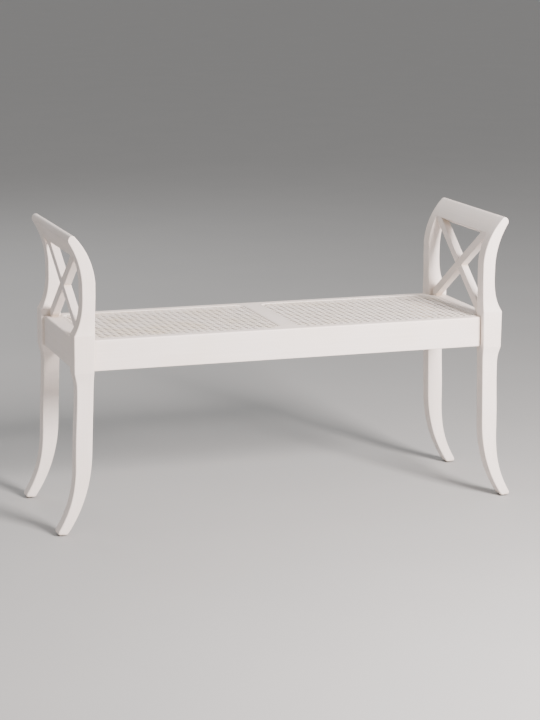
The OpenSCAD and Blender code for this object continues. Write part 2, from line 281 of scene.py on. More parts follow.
def noise(tree, vector, scale, detail=3.0, roughness=0.5):
    return add_node(tree, "ShaderNodeTexNoise", {
        "Vector": vector, "Scale": scale, "Detail": detail, "Roughness": roughness,
    }).outputs["Fac"]


def stretched(tree, vector, scale):
    return add_node(tree, "ShaderNodeMapping", {"Vector": vector, "Scale": scale}).outputs[0]


def graded(tree, value, low, high, to_low=0.0, to_high=1.0):
    return add_node(tree, "ShaderNodeMapRange", {
        "Value": value, "From Min": low, "From Max": high, "To Min": to_low, "To Max": to_high,
    }).outputs[0]


def maths(tree, operation, a, b):
    return add_node(tree, "ShaderNodeMath", {0: a, 1: b}, operation=operation).outputs[0]


def blended(tree, amount, a, b, mode="MIX"):
    mix = add_node(tree, "ShaderNodeMix", data_type="RGBA", blend_type=mode)
    for socket, value in ((mix.inputs[0], amount), (mix.inputs[6], a), (mix.inputs[7], b)):
        if isinstance(value, bpy.types.NodeSocket):
            tree.links.new(value, socket)
        else:
            socket.default_value = value
    return mix.outputs[2]


def new_group(name, inputs, outputs):
    """An empty shader node group with named sockets, and its two end nodes."""
    tree = bpy.data.node_groups.new(name, "ShaderNodeTree")
    kinds = {"vector": "NodeSocketVector", "value": "NodeSocketFloat", "colour": "NodeSocketColor"}
    for socket, kind in inputs:
        tree.interface.new_socket(socket, in_out="INPUT", socket_type=kinds[kind])
    for socket, kind in outputs:
        tree.interface.new_socket(socket, in_out="OUTPUT", socket_type=kinds[kind])
    return tree, tree.nodes.new("NodeGroupInput"), tree.nodes.new("NodeGroupOutput")


def object_place(tree):
    """Where a point lies in its piece, in metres."""
    return add_node(tree, "ShaderNodeTexCoord").outputs["Object"]


def shaded(tree, colour, tint):
    """The colour made a little lighter or darker by a tint that is about 1."""
    grey = add_node(tree, "ShaderNodeCombineColor", {0: tint, 1: tint, 2: tint}).outputs[0]
    return blended(tree, 1.0, colour, grey, "MULTIPLY")


def showing(tree, mask, strength, colour, under):
    """The colour, with another showing through it where the mask is."""
    return blended(tree, maths(tree, "MULTIPLY", mask, strength), colour, under)


# ---- painted crevice shade and edge wear shared by the materials ----

def crevice_and_edge_group():
    """Masks for tight inside corners, found by occlusion for painted shade, and for outside edges, for
    wear.
    """
    tree, start, end = new_group(
        "crevices_and_edges", [("Reach", "value"), ("Breakup", "value")],
        [("Crevice Shade", "value"), ("Edge", "value")],
    )
    shade = add_node(tree, "ShaderNodeAmbientOcclusion", {"Distance": start.outputs["Reach"]}, samples=8)
    crevice = graded(tree, shade.outputs["AO"], 0.9, 0.35)
    soft = add_node(tree, "ShaderNodeBevel", {"Radius": 0.003}, samples=4)
    true = add_node(tree, "ShaderNodeNewGeometry")
    facing = add_node(
        tree, "ShaderNodeVectorMath", {0: soft.outputs[0], 1: true.outputs["Normal"]},
        operation="DOT_PRODUCT",
    )
    edge = graded(tree, facing.outputs["Value"], 0.99, 0.8)
    broken = graded(tree, start.outputs["Breakup"], 0.42, 0.62)
    tree.links.new(crevice, end.inputs["Crevice Shade"])
    tree.links.new(maths(tree, "MULTIPLY", edge, broken), end.inputs["Edge"])
    return tree


def crevices_and_edges(tree, masks, reach, breakup):
    """Both masks for a material whose painted crevice shade reaches this far, in metres."""
    found = add_node(tree, "ShaderNodeGroup", {}, node_tree=masks)
    found.inputs["Reach"].default_value = reach
    tree.links.new(breakup, found.inputs["Breakup"])
    return found.outputs


def brushed_paint_group(masks):
    """Satin paint brushed over wood: streaks lie along the first axis of Grain."""
    tree, start, end = new_group(
        "brushed_paint",
        [("Grain", "vector"), ("Paint", "colour"), ("Aged Paint", "colour"), ("Undercoat And Shade", "colour")],
        [("Colour", "colour"), ("Roughness", "value"), ("Normal", "vector")],
    )
    grain, undercoat_and_shade = start.outputs["Grain"], start.outputs["Undercoat And Shade"]
    streaks = noise(tree, stretched(tree, grain, (5, 300, 300)), 1.0, 3.0, 0.55)
    fine_grain = noise(tree, stretched(tree, grain, (12, 900, 900)), 1.0, 2.0, 0.6)
    clouds = noise(tree, grain, 7.0, 3.0, 0.55)
    peel = noise(tree, grain, 650.0, 1.0)
    wear_and_shade = crevices_and_edges(tree, masks, 0.014, noise(tree, grain, 60.0, 3.0))
    age = graded(tree, clouds, 0.42, 0.66, 0.0, 0.6)
    colour = blended(tree, age, start.outputs["Paint"], start.outputs["Aged Paint"])
    colour = shaded(tree, colour, graded(tree, streaks, 0.3, 0.7, 0.965, 1.02))
    # Painted shade: crevices found by occlusion are darkened towards the undercoat colour, which also
    # stands for grime in the joints. The edges show real wear through to the undercoat.
    colour = showing(tree, wear_and_shade["Crevice Shade"], 0.55, colour, undercoat_and_shade)
    colour = showing(tree, wear_and_shade["Edge"], 0.3, colour, undercoat_and_shade)
    relief = maths(tree, "ADD", streaks, maths(tree, "MULTIPLY", fine_grain, 0.45))
    relief = maths(tree, "ADD", relief, maths(tree, "MULTIPLY", peel, 0.25))
    tree.links.new(colour, end.inputs["Colour"])
    tree.links.new(graded(tree, streaks, 0.3, 0.75, 0.4, 0.54), end.inputs["Roughness"])
    tree.links.new(relief_of(tree, relief, 0.22, 0.0006), end.inputs["Normal"])
    return tree


def new_material(name):
    """A material with nothing but its shader, its node tree and that shader."""
    material = bpy.data.materials.new(name)
    material.use_nodes = True
    return material, material.node_tree, material.node_tree.nodes["Principled BSDF"]


def join_surface(tree, shader, colour, roughness, normal):
    """Joins what changes over a surface to its shader."""
    tree.links.new(colour, shader.inputs["Base Color"])
    tree.links.new(roughness, shader.inputs["Roughness"])
    tree.links.new(normal, shader.inputs["Normal"])


def relief_of(tree, height, strength, depth):
    """Normals of a shallow relief whose depth is in metres."""
    return add_node(
        tree, "ShaderNodeBump", {"Height": height, "Strength": strength, "Distance": depth},
    ).outputs[0]


def turned_place(tree, turn):
    """A point's place in its piece, turned so that the piece's length lies along the first axis."""
    return add_node(
        tree, "ShaderNodeMapping", {"Vector": object_place(tree), "Rotation": turn},
    ).outputs[0]


def inside_seat_frame(tree):
    """Mask for the faces under the cane, which the brush never reached, and where shade is painted."""
    axes = add_node(tree, "ShaderNodeSeparateXYZ", {"Vector": object_place(tree)}).outputs
    mask = maths(tree, "GREATER_THAN", axes[2], (RAIL_BOTTOM + 2) * MM)
    for axis, limit in zip(axes, (SEAT_END_LOW.x + 0.5, RAIL_LOW.y + 0.5, SEAT_TOP - 6)):
        distance = add_node(tree, "ShaderNodeMath", {0: axis}, operation="ABSOLUTE").outputs[0]
        mask = maths(tree, "MULTIPLY", mask, maths(tree, "LESS_THAN", distance, limit * MM))
    return mask


def painted_wood(name, paint_group, turn):
    """Warm white satin paint, brushed along the piece. Inside the seat frame the wood is unpainted and
    painted nearly black as the shade under the cane.
    """
    material, tree, shader = new_material(name)
    paint = add_node(tree, "ShaderNodeGroup", {}, node_tree=paint_group)
    tree.links.new(turned_place(tree, turn), paint.inputs["Grain"])
    paint.inputs["Paint"].default_value = (0.870, 0.782, 0.738, 1)
    paint.inputs["Aged Paint"].default_value = (0.850, 0.745, 0.665, 1)
    # This colour shows at worn edges, and as painted shade in the crevices.
    paint.inputs["Undercoat And Shade"].default_value = (0.56, 0.47, 0.37, 1)
    streaks = graded(tree, paint.outputs["Roughness"], 0.42, 0.52)
    # Unpainted wood inside the seat frame, made far darker than bare wood: painted shade under the cane.
    bare_and_shade = blended(tree, streaks, (0.17, 0.125, 0.09, 1), (0.085, 0.062, 0.046, 1))
    colour = blended(tree, inside_seat_frame(tree), paint.outputs["Colour"], bare_and_shade)
    join_surface(tree, shader, colour, paint.outputs["Roughness"], paint.outputs["Normal"])
    shader.inputs["Specular IOR Level"].default_value = 0.42
    return material


def painted_cane(masks):
    """Cane strands under thin white paint, each strand its own shade."""
    material, tree, shader = new_material("painted_cane")
    place_in_piece = object_place(tree)
    strand = add_node(tree, "ShaderNodeAttribute", attribute_name="strand_shade").outputs["Fac"]
    patches = noise(tree, place_in_piece, 14.0, 3.0, 0.6)
    along = add_node(tree, "ShaderNodeSeparateXYZ", {"Vector": place_in_piece}).outputs[0]
    thin = graded(tree, patches, 0.40, 0.66)
    bare_and_shade = maths(tree, "MULTIPLY", thin, graded(tree, strand, 0.0, 1.0, 0.3, 1.0))
    bare_and_shade = maths(tree, "MULTIPLY", bare_and_shade, graded(tree, along, 0.35, -0.45, 0.35, 1.0))
    colour = blended(tree, bare_and_shade, (0.885, 0.815, 0.765, 1), (0.79, 0.68, 0.51, 1))
    fibres = noise(tree, stretched(tree, place_in_piece, (700, 700, 300)), 1.0, 2.0)
    colour = shaded(tree, colour, graded(tree, fibres, 0.3, 0.7, 0.93, 1.03))
    wear_and_shade = crevices_and_edges(tree, masks, 0.004, patches)
    # Painted shade: crevices in the weave, found by occlusion, are darkened brown. This also stands for
    # worn paint round the holes.
    colour = showing(tree, wear_and_shade["Crevice Shade"], 0.4, colour, (0.42, 0.34, 0.24, 1))
    roughness = graded(tree, fibres, 0.3, 0.7, 0.38, 0.5)
    join_surface(tree, shader, colour, roughness, relief_of(tree, fibres, 0.3, 0.0002))
    return material


def bare_beech(masks):
    """Unfinished hardwood with short flecks, for blocks and dowels."""
    material, tree, shader = new_material("bare_beech")
    grain = turned_place(tree, (0, 0, math.radians(45)))
    rings = noise(tree, stretched(tree, grain, (9, 130, 130)), 1.0, 4.0, 0.6)
    flecks = noise(tree, stretched(tree, grain, (180, 1500, 1500)), 1.0, 1.0)
    colour = blended(tree, rings, (0.63, 0.45, 0.28, 1), (0.46, 0.30, 0.17, 1))
    colour = blended(tree, graded(tree, flecks, 0.6, 0.72, 0.0, 0.5), colour, (0.30, 0.18, 0.10, 1))
    wear_and_shade = crevices_and_edges(tree, masks, 0.012, rings)
    # Painted shade: crevices found by occlusion are darkened.
    colour = showing(tree, wear_and_shade["Crevice Shade"], 0.5, colour, (0.22, 0.14, 0.08, 1))
    roughness = graded(tree, rings, 0.3, 0.7, 0.6, 0.75)
    join_surface(tree, shader, colour, roughness, relief_of(tree, rings, 0.3, 0.0005))
    return material


def zinc_steel():
    """Zinc-plated steel with a fine drawn texture."""
    material, tree, shader = new_material("zinc_steel")
    place_in_piece = object_place(tree)
    drawn = noise(tree, stretched(tree, place_in_piece, (300, 2500, 2500)), 1.0, 2.0)
    bloom = graded(tree, noise(tree, place_in_piece, 160.0, 3.0), 0.35, 0.7)
    colour = blended(tree, bloom, (0.66, 0.67, 0.69, 1), (0.50, 0.51, 0.52, 1))
    roughness = graded(tree, drawn, 0.3, 0.7, 0.28, 0.42)
    join_surface(tree, shader, colour, roughness, relief_of(tree, drawn, 0.2, 0.0001))
    shader.inputs["Metallic"].default_value = 1.0
    return material


def glide_nylon(masks):
    """Off-white moulded nylon, scuffed, with painted shade where it meets the floor and the foot."""
    material, tree, shader = new_material("glide_nylon")
    scuffs = noise(tree, object_place(tree), 420.0, 3.0, 0.6)
    colour = blended(tree, graded(tree, scuffs, 0.4, 0.7), (0.62, 0.60, 0.56, 1), (0.44, 0.42, 0.38, 1))
    wear_and_shade = crevices_and_edges(tree, masks, 0.004, scuffs)
    # Painted shade: crevices found by occlusion are darkened.
    colour = showing(tree, wear_and_shade["Crevice Shade"], 0.5, colour, (0.25, 0.23, 0.20, 1))
    roughness = graded(tree, scuffs, 0.3, 0.7, 0.45, 0.65)
    join_surface(tree, shader, colour, roughness, relief_of(tree, scuffs, 0.25, 0.0002))
    return material


def pale_floor():
    """Matte pale studio floor with barely seen mottling."""
    material, tree, shader = new_material("pale_floor")
    mottling = noise(tree, object_place(tree), 3.0, 4.0)
    colour = blended(tree, mottling, (0.385, 0.385, 0.385, 1), (0.41, 0.408, 0.405, 1))
    tree.links.new(colour, shader.inputs["Base Color"])
    shader.inputs["Roughness"].default_value = 0.75
    shader.inputs["Specular IOR Level"].default_value = 0.2
    return material


# ---- posts ----

# Half a post's thickness, front to back, where it swells into the block and draws in above it
LOWER_FLANK = bezier([
    (HALF_LEG, RAIL_BOTTOM - 38), (HALF_LEG, RAIL_BOTTOM - 18),
    (HALF_BLOCK - 1.5, RAIL_BOTTOM - 10), (HALF_BLOCK, RAIL_BOTTOM),
], FLANK_STEPS)
UPPER_FLANK = bezier([
    (HALF_BLOCK, BLOCK_TOP), (HALF_LEG + 1.5, BLOCK_TOP + 12),
    (HALF_LEG, BLOCK_TOP + 24), (HALF_LEG, BLOCK_TOP + 44),
], FLANK_STEPS)

# Centres of the two rounded corners at the scroll's tip, and the direction that the tip faces
INNER_CORNER = on_scroll(INNER_CENTRE, INNER_RADIUS - CORNER_RADIUS, INNER_END)
OUTER_CORNER = on_scroll(OUTER_CENTRE, OUTER_RADIUS + CORNER_RADIUS, OUTER_END)
ACROSS_TIP = OUTER_CORNER - INNER_CORNER
CROWN = math.atan2(ACROSS_TIP.y, ACROSS_TIP.x) + math.pi / 2


def half_depth(level):
    """Half the thickness of a post, front to back, at a level."""
    if level <= RAIL_BOTTOM:
        return read_curve(LOWER_FLANK, level)
    if level <= BLOCK_TOP:
        return HALF_BLOCK
    return read_curve(UPPER_FLANK, level)


def straight_inner(level):
    """The point at a level on the post's inner face, between the flare and the arm."""
    return Vector((LEAN * (PLUMB - level), level))


def leg_sections():
    """Inner and outer point at each level, from the sole to the knee."""
    sole_start, heel, toe = Vector((67.5, SOLE)), Vector((65, SOLE + 1.5)), Vector((86.6, SOLE + 9.5))
    tip = bezier([(82, SOLE), (88, SOLE), (89.5, SOLE + 3.5), toe], SOLE_STEPS)[:-1]
    sections = [(sole_start.lerp(heel, i / SOLE_STEPS), outer) for i, outer in enumerate(tip)]
    upright = straight_inner(FLARE_TOP)
    inner_flare = bezier([heel, (28, 58), (upright.x + 2.8, 120), upright], FLARE_STEPS)
    outer_flare = bezier([toe, (57, 62), (45.5, 105), (CALF_WIDTH, CALF_LEVEL)], FLARE_STEPS)
    sections += zip(inner_flare, outer_flare)
    shin = bezier([
        (CALF_WIDTH, CALF_LEVEL), (CALF_WIDTH, CALF_LEVEL + 55),
        (KNEE_WIDTH, KNEE_LEVEL - 58), (KNEE_WIDTH, KNEE_LEVEL),
    ], 8)
    return sections + [(straight_inner(outer.y), outer) for outer in shin[2:]]


def block_outline():
    """Outer points of the swell over the knee, the block and the waist above it."""
    swell = bezier([
        (KNEE_WIDTH, KNEE_LEVEL), (KNEE_WIDTH, KNEE_LEVEL + 20),
        (BLOCK_WIDTH - 3, RAIL_BOTTOM - 14), (BLOCK_WIDTH, RAIL_BOTTOM),
    ], 9)
    waist = bezier([
        (BLOCK_WIDTH, BLOCK_TOP), (38, BLOCK_TOP + 16),
        (ARM_FACE + 0.1, BLOCK_TOP + 39), (ARM_FACE, BLOCK_TOP + 84),
    ], 14)
    block = [swell[-1] + Vector((0, step)) for step in (0.8, 2.5)]
    block += [waist[0] - Vector((0, step)) for step in (2.5, 0.8)]
    return [*swell[1:], *block, *waist]


def post_sections():
    """Inner point, outer point and inside-edge radius at each level, from the sole to the scroll."""
    sections = [(inner, outer, EDGE_ROUND) for inner, outer in leg_sections()]
    sections += [(straight_inner(outer.y), outer, EDGE_ROUND) for outer in block_outline()]
    joint = CREST_INNER / INNER_END
    for share in (0.1, 0.2, 0.3, 0.4, 0.5, 0.58, joint - 0.008, joint + 0.004, 0.7, 0.78, 0.86, 0.93, 1.0):
        edge = EDGE_ROUND if share < joint else SCROLL_EDGE_ROUND
        sections.append((on_inner_arc(INNER_END * share), on_outer_arc(OUTER_END * share), edge))
    inner_turn = arc(INNER_CORNER, CORNER_RADIUS, math.pi - INNER_END, CROWN, 6)
    outer_turn = arc(OUTER_CORNER, CORNER_RADIUS, -OUTER_END, CROWN, 6)
    sections += [(a, b, SCROLL_EDGE_ROUND) for a, b in zip(inner_turn[1:], outer_turn[1:])]
    return sections


def post_rings():
    """Rounded sections up a post, as rings of points."""
    rings = []
    for i, (inner, outer, inside_edge) in enumerate(post_sections()):
        width = (outer - inner).length
        tuck = SOLE_ROUND * (1 - math.sin(math.pi / 2 * min(i / SOLE_STEPS, 1)))
        depth = half_depth((inner.y + outer.y) / 2) - tuck
        wear_and_shade = TOE_WEAR * max(0, 1 - outer.y / TOE_HEIGHT)
        largest = 0.47 * width
        inside, outside = min(inside_edge + wear_and_shade, largest), min(EDGE_ROUND + wear_and_shade, largest)
        ring = rounded([
            (0, -depth, inside), (width, -depth, inside), (width, depth, outside), (0, depth, outside),
        ])
        along = (outer - inner) / width
        rings.append([
            (POST_LINE + inner.x + along.x * p.x, POST_MIDDLE + p.y, inner.y + along.y * p.x) for p in ring
        ])
    return rings


def crease_shoulders(mesh):
    """Keeps a crisp line round the post at the top and bottom of its block."""
    for edge in mesh.edges:
        ends = [mesh.vertices[i].co.z / MM for i in edge.vertices]
        for shoulder in (RAIL_BOTTOM, BLOCK_TOP):
            if all(abs(z - shoulder) < 0.05 for z in ends):
                edge.use_edge_sharp = True


def make_posts(paint):
    rings = post_rings()
    for end, side in SIDES.items():
        for where, face in FACES.items():
            node = f"post_{where}_{end}"
            mesh = new_mesh(node, *loft(mirrored(rings, side, face)))
            place(f"painted_{node}", mesh, paint, [node])
            crease_shoulders(mesh)


# ---- rails ----

def rail_profile(low_x, high_x, low_z, high_z, radii, inset=0.0):
    """Rounded rectangle. Radii start at low x and low z, then go to high x, high z and low x."""
    corners = ((low_x, low_z), (high_x, low_z), (high_x, high_z), (low_x, high_z))
    turns = ((1, 1), (-1, 1), (-1, -1), (1, -1))
    return rounded([
        (x + sx * inset, z + sz * inset, max(r - inset, 0.2))
        for (x, z), (sx, sz), r in zip(corners, turns, radii)
    ])


def softened_ends(length, softness, steps=4):
    """Distances along a piece and how far its section draws in there, to round its two ends."""
    near = []
    for i in range(steps + 1):
        turn = math.pi / 2 * i / steps
        near.append((-length / 2 + softness * (1 - math.cos(turn)), softness * (1 - math.sin(turn))))
    return near + [(-x, draw) for x, draw in reversed(near)]


def panel_outline(inset, level):
    """Points round a right-hand cane panel's groove, drawn in from its outer edge."""
    r = PANEL_CORNER - inset
    low = Vector((REED_LOW.x + inset + r, REED_LOW.y + inset + r))
    high = Vector((REED_HIGH.x - inset - r, REED_HIGH.y - inset - r))
    centres = (high, Vector((low.x, high.y)), low, Vector((high.x, low.y)))
    flat = []
    for i, centre in enumerate(centres):
        flat += arc(centre, r, math.pi / 2 * i, math.pi / 2 * (i + 1), 8)
    return [(p.x, p.y, level) for p in flat]


def pocket_cutters():
    """The lowered bed and the groove of both panels."""
    bed = loft([panel_outline(0, SEAT_TOP - BED_DEPTH), panel_outline(0, SEAT_TOP + 2)])
    low, high = SEAT_TOP - GROOVE_DEPTH, SEAT_TOP - 1
    corners = ((0, low), (GROOVE, low), (GROOVE, high), (0, high))
    groove = loft([panel_outline(inset, level) for inset, level in corners], closed=True)
    return [
        ([(x * side, y, z) for x, y, z in vertices], faces)
        for vertices, faces in (bed, groove) for side in SIDES.values()
    ]


def make_long_rails(paint, cutters):
    for where, face in FACES.items():
        rings = []
        for x, draw in softened_ends(2 * RAIL_HIGH.x, LONG_RAIL_END):
            profile = rail_profile(
                RAIL_LOW.y, RAIL_HIGH.y, RAIL_BOTTOM, SEAT_TOP, LONG_RAIL_EDGES, draw,
            )
            rings.append([(x, p.x * face, p.y) for p in profile])
        node = f"{where}_rail"
        mesh = carve(new_mesh(node, *loft(rings)), node, cutters)
        place(f"painted_{node}", mesh, paint, [node])


def make_cross_piece(node, low, high, radii, softness, side, paint, cutters=()):
    """A straight piece that runs front to back."""
    rings = []
    for y, draw in softened_ends(high.y - low.y, softness, 3):
        profile = rail_profile(low.x, high.x, low.z, high.z, radii, draw)
        rings.append([(p.x * side, y, p.y) for p in profile])
    mesh = new_mesh(node, *loft(rings))
    if cutters:
        mesh = carve(mesh, node, cutters)
    place(f"painted_{node}", mesh, paint, [node])


def make_cross_pieces(paint, cutters):
    for end, side in SIDES.items():
        make_cross_piece(
            f"end_rail_{end}", END_LOW, END_HIGH, END_RAIL_EDGES, END_RAIL_END, side, paint,
        )
        make_cross_piece(
            f"seat_end_{end}", SEAT_END_LOW, SEAT_END_HIGH, SEAT_END_EDGES, SEAT_JOINT,
            side, paint, cutters,
        )
    make_cross_piece("centre_bar", BAR_LOW, BAR_HIGH, BAR_EDGES, SEAT_JOINT, 1, paint, cutters)


def crest_outline():
    """Section of a crest rail, continuing the scrolled faces of the posts."""
    steps = 9
    outer_face = [
        on_outer_arc(CREST_OUTER + (OUTER_END - CREST_OUTER) * i / steps) for i in range(steps + 1)
    ]
    inner_face = [
        on_inner_arc(INNER_END + (CREST_INNER - INNER_END) * i / steps) for i in range(steps + 1)
    ]
    top = arc(OUTER_CORNER, CORNER_RADIUS, -OUTER_END, CROWN, 7)[1:]
    top += arc(INNER_CORNER, CORNER_RADIUS, CROWN, math.pi - INNER_END, 7)[:-1]
    inner_foot, outer_foot = inner_face[-1], outer_face[0]
    across = (outer_foot - inner_foot).normalized() * CREST_EDGE
    inner_turn = bezier([inner_face[-2], inner_foot, inner_foot, inner_foot + across], 4)[1:]
    outer_turn = bezier([outer_foot - across, outer_foot, outer_foot, outer_face[1]], 4)[:-1]
    return [*outer_turn, *outer_face[1:], *top, *inner_face[:-1], *inner_turn]


def drawn_in(outline, amount):
    """The outline moved inwards by a small amount."""
    found = []
    for i, p in enumerate(outline):
        along = (outline[(i + 1) % len(outline)] - outline[i - 1]).normalized()
        found.append(p + amount * Vector((-along.y, along.x)))
    return found


def make_crests(paint):
    outline = crest_outline()
    reach = POST_MIDDLE - HALF_LEG
    middle = reach - CREST_JOINT_WIDTH
    rings = []
    for y, draw in (
        (-reach, CREST_JOINT_DEPTH), (-middle, 0), (0, 0), (middle, 0), (reach, CREST_JOINT_DEPTH),
    ):
        rings.append([(POST_LINE + p.x, y, p.y) for p in drawn_in(outline, draw)])
    for end, side in SIDES.items():
        node = f"crest_rail_{end}"
        mesh = new_mesh(node, *loft(mirrored(rings, side)))
        place(f"painted_{node}", mesh, paint, [node])


# ---- braces ----

CREST_FOOT_IN, CREST_FOOT_OUT = on_inner_arc(CREST_INNER), on_outer_arc(CREST_OUTER)
CREST_SLOPE = (CREST_FOOT_OUT.y - CREST_FOOT_IN.y) / (CREST_FOOT_OUT.x - CREST_FOOT_IN.x)


def under_crest(x):
    """Level of the crest rail's underside at a distance from the middle of the bench."""
    return CREST_FOOT_IN.y + CREST_SLOPE * (x - POST_LINE - CREST_FOOT_IN.x)


BRACE_TILT = (BRACE_HEAD - BRACE_FOOT) / (under_crest(BRACE_HEAD) - END_HIGH.z)


def brace_axes(slope):
    """Centre of the crossing, and the brace's length, width and thickness directions."""
    centre = Vector((BRACE_FOOT + BRACE_TILT * (BRACE_CROSSING - END_HIGH.z), 0, BRACE_CROSSING))
    lean = math.atan(BRACE_TILT)
    up = Vector((math.sin(lean), 0, math.cos(lean)))
    thick = Vector((math.cos(lean), 0, -math.sin(lean)))
    back = Vector((0, 1, 0))
    length = back * math.cos(BRACE_ANGLE) + up * slope * math.sin(BRACE_ANGLE)
    width = thick.cross(length)
    return centre, length, width, thick


def reach_along(point, direction):
    """How far a line in a brace runs from a point to the end rail below or the crest rail above."""
    if direction.z < 0:
        return (END_HIGH.z - FOOT_TUCK - point.z) / direction.z
    rise = direction.z - CREST_SLOPE * direction.x
    return (under_crest(point.x) + HEAD_TUCK - point.z) / rise


def brace_rings(slope):
    """Rounded sections along a brace. Its ends run on inside the posts, where nothing is seen."""
    centre, length, width, thick = brace_axes(slope)
    half_w, half_t = BRACE_WIDTH / 2, BRACE_THICKNESS / 2
    start, end = [], []
    for p in rail_profile(-half_t, half_t, -half_w, half_w, [BRACE_EDGE] * 4):
        point = centre + thick * p.x + width * p.y
        start.append(point - length * reach_along(point, -length))
        end.append(point + length * reach_along(point, length))
    return [
        [tuple(a.lerp(b, i / BRACE_STEPS)) for a, b in zip(start, end)] for i in range(BRACE_STEPS + 1)
    ]


def lap_cutter(slope, low, high):
    """A slab as wide as one brace, from one depth to another, that notches the brace it crosses."""
    centre, length, width, thick = brace_axes(slope)
    half_w = BRACE_WIDTH / 2 + LAP_CLEARANCE
    corners = ((low, -half_w), (high, -half_w), (high, half_w), (low, half_w))
    return loft([
        [centre + length * step + thick * t + width * w for t, w in corners]
        for step in (-LAP_REACH, LAP_REACH)
    ])


def make_braces(paints):
    for name, slope in (("rising", 1), ("falling", -1)):
        notch = (-BRACE_THICKNESS, 0) if slope > 0 else (0, BRACE_THICKNESS)
        for end, side in SIDES.items():
            node = f"brace_{name}_{end}"
            vertices, faces = lap_cutter(-slope, *notch)
            cutter = ([(x * side, y, z) for x, y, z in vertices], faces)
            mesh = carve(new_mesh(node, *loft(mirrored(brace_rings(slope), side))), node, [cutter])
            place(f"painted_{node}", mesh, paints[slope], [node])


# ---- cane seat ----

def outside_panel(x, y):
    """Distance outside the edge where the cane turns down into its groove; negative inside."""
    r = PANEL_CORNER - GROOVE
    middle = (REED_LOW.x + REED_HIGH.x) / 2
    half_x = (REED_HIGH.x - REED_LOW.x) / 2 - GROOVE - r
    half_y = REED_HIGH.y - GROOVE - r
    dx, dy = abs(x - middle) - half_x, abs(y) - half_y
    return math.hypot(max(dx, 0), max(dy, 0)) + min(max(dx, dy), 0) - r


def over_panel(start, direction, distance):
    """Whether the point this far along a line lies over the panel."""
    return outside_panel(start[0] + direction[0] * distance, start[1] + direction[1] * distance) < 0


def pair_wave(along):
    """Rise and fall of a paired strand as it passes the two strands of a crossing pair."""
    near = (along - MESH_PITCH / 2) % MESH_PITCH
    offset = (near - MESH_PITCH if near > MESH_PITCH / 2 else near) / PAIR_OFFSET
    return PAIR_WAVE * offset * math.exp(0.5 * (1 - offset * offset))


def diagonal_wave(along):
    """Rise and fall of a diagonal strand over and under the pairs."""
    swing = math.cos(2 * math.pi * along / (MESH_PITCH * math.sqrt(2)))
    return DIAGONAL_WAVE * swing * (1.5 - 0.5 * swing * swing)


def strand_lines():
    """Each strand's start point, direction and wave. Some lines pass clear of the right-hand panel."""
    columns, rows, diagonals = range(-1, 29), range(-10, 10), range(-12, 48)
    lines = []
    for i in columns:
        x = FIRST_HOLE + MESH_PITCH * (i - 0.5)
        for sign in (-1, 1):
            lines.append(((x + sign * PAIR_OFFSET, 0), (0, 1), lambda s, g=sign: -g * pair_wave(s)))
    for j in rows:
        y = MESH_PITCH * (j + 0.5)
        for sign in (-1, 1):
            lines.append((
                (FIRST_HOLE, y + sign * PAIR_OFFSET), (1, 0), lambda s, g=sign: g * pair_wave(s),
            ))
    slant = math.sqrt(0.5)
    for k in diagonals:
        start = (FIRST_HOLE + MESH_PITCH * (k - 0.5), 0)
        lines.append((start, (slant, -slant), lambda s: -diagonal_wave(s)))
        lines.append((start, (slant, slant), diagonal_wave))
    return lines


def inside_stretch(start, direction):
    """Distances along a line between which it lies over the panel, or None where it passes clear."""
    step, steps, halvings = 2.0, 320, 12
    inside = [i * step for i in range(-steps, steps + 1) if over_panel(start, direction, i * step)]
    if len(inside) < 3:
        return None
    ends = []
    for kept, lost in ((inside[0], inside[0] - step), (inside[-1], inside[-1] + step)):
        for _ in range(halvings):
            half = (kept + lost) / 2
            kept, lost = (half, lost) if over_panel(start, direction, half) else (kept, half)
        ends.append(kept)
    return ends


def strand_path(low, high, wave):
    """Distance and rise along one strand, which turns down into the groove at both ends."""
    spacing = MESH_PITCH / RINGS_PER_MESH
    first, clear = spacing * 0.4, spacing * 0.7
    stops = [
        low + first,
        *(
            i * spacing for i in range(math.ceil(low / spacing), math.floor(high / spacing) + 1)
            if low + clear < i * spacing < high - clear
        ),
        high - first,
    ]
    path = [(low - past, -drop) for past, drop in TURN_DOWN]
    path += [(s, wave(s)) for s in stops]
    return path + [(high + past, -drop) for past, drop in reversed(TURN_DOWN)]


def strand_skin(start, direction, wave):
    """Vertices and faces of one flat strand that waves over and under its neighbours, or None."""
    stretch = inside_stretch(start, direction)
    if stretch is None:
        return None
    side = (-direction[1], direction[0])
    half_w, half_t = STRAND_WIDTH / 2, STRAND_THICKNESS / 2
    section = (
        (-half_w, -0.1), (-half_w * 0.55, half_t), (half_w * 0.55, half_t),
        (half_w, -0.1), (half_w * 0.5, -half_t), (-half_w * 0.5, -half_t),
    )
    rings = []
    for s, lift in strand_path(*stretch, wave):
        x, y = start[0] + direction[0] * s, start[1] + direction[1] * s
        rings.append([(x + side[0] * w, y + side[1] * w, CANE_LEVEL + lift + t) for w, t in section])
    return loft(rings)


def make_cane(material):
    shades = random.Random(7)
    vertices, faces, tones = [], [], []
    for start, direction, wave in strand_lines():
        shade = shades.random()
        skin = strand_skin(start, direction, wave)
        if skin is None:
            continue
        offset = len(vertices)
        vertices += skin[0]
        faces += [tuple(i + offset for i in face) for face in skin[1]]
        tones += [shade] * len(skin[0])
    for end, side in SIDES.items():
        node = f"cane_{end}"
        mesh = new_mesh(node, [(x * side, y, z) for x, y, z in vertices], faces)
        mesh.attributes.new("strand_shade", "FLOAT", "POINT").data.foreach_set("value", tones)
        place(f"woven_{node}", mesh, material, [node], crease=60, even_normals=False)


